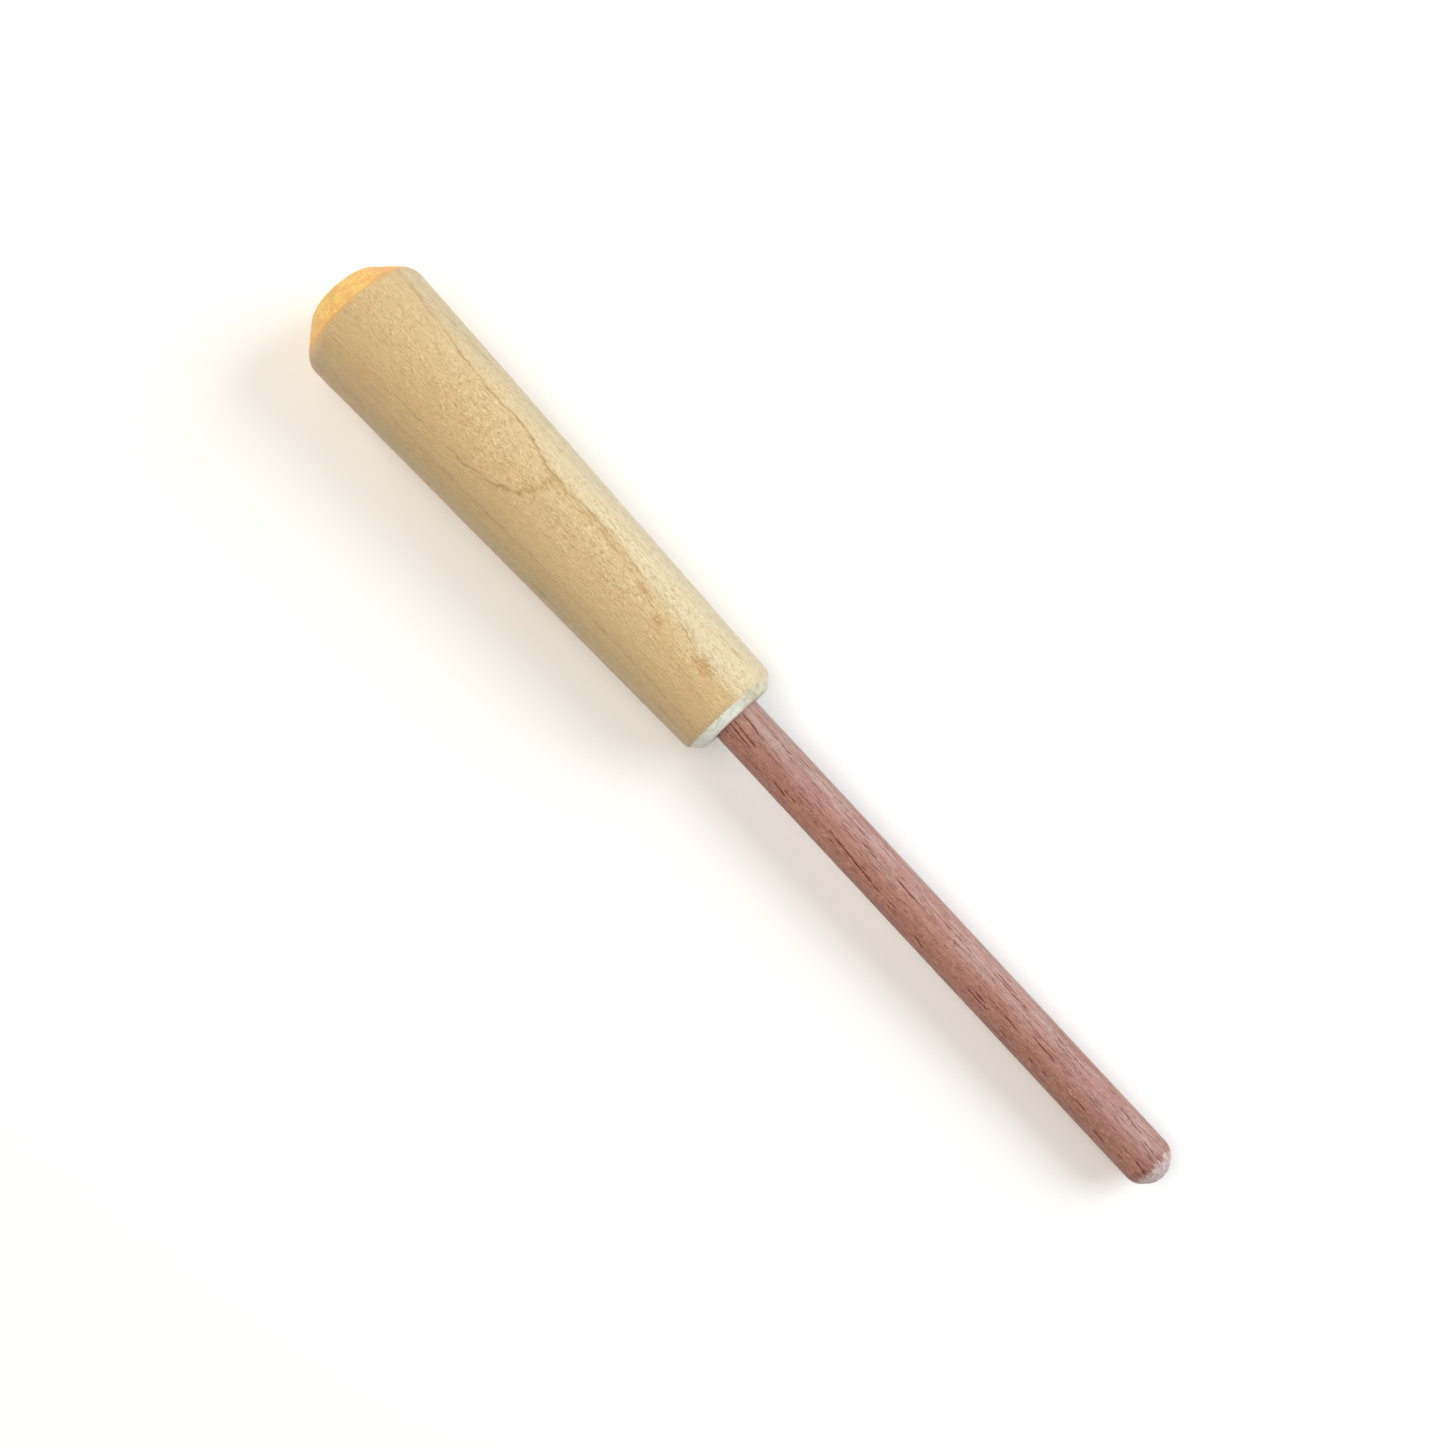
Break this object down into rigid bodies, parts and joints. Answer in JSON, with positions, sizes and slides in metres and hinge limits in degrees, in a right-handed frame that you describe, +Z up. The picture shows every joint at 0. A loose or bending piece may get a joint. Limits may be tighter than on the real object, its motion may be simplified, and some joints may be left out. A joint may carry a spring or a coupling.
{
  "type": "wooden mallet",
  "caption": "Tapered, turned wooden mallet head with a domed striking end, glued on a plain dowel handle.",
  "frame": {"origin": "centre of the bounding box at floor level, with the mallet lying on the taper of its head", "axes": "+X towards the handle's tip, +Z up; the mallet's own axis slopes down towards the handle by the taper's half angle, 1.80 degrees, in the XZ plane"},
  "size_m": [0.2912, 0.0348, 0.0348],
  "materials": {
    "maple": "satin",
    "mahogany": "satin",
    "cured_glue": "satin"
  },
  "bodies": {
    "root": {"head": "maple", "handle": "mahogany", "glue_line": "cured_glue"}
  },
  "joints": []
}
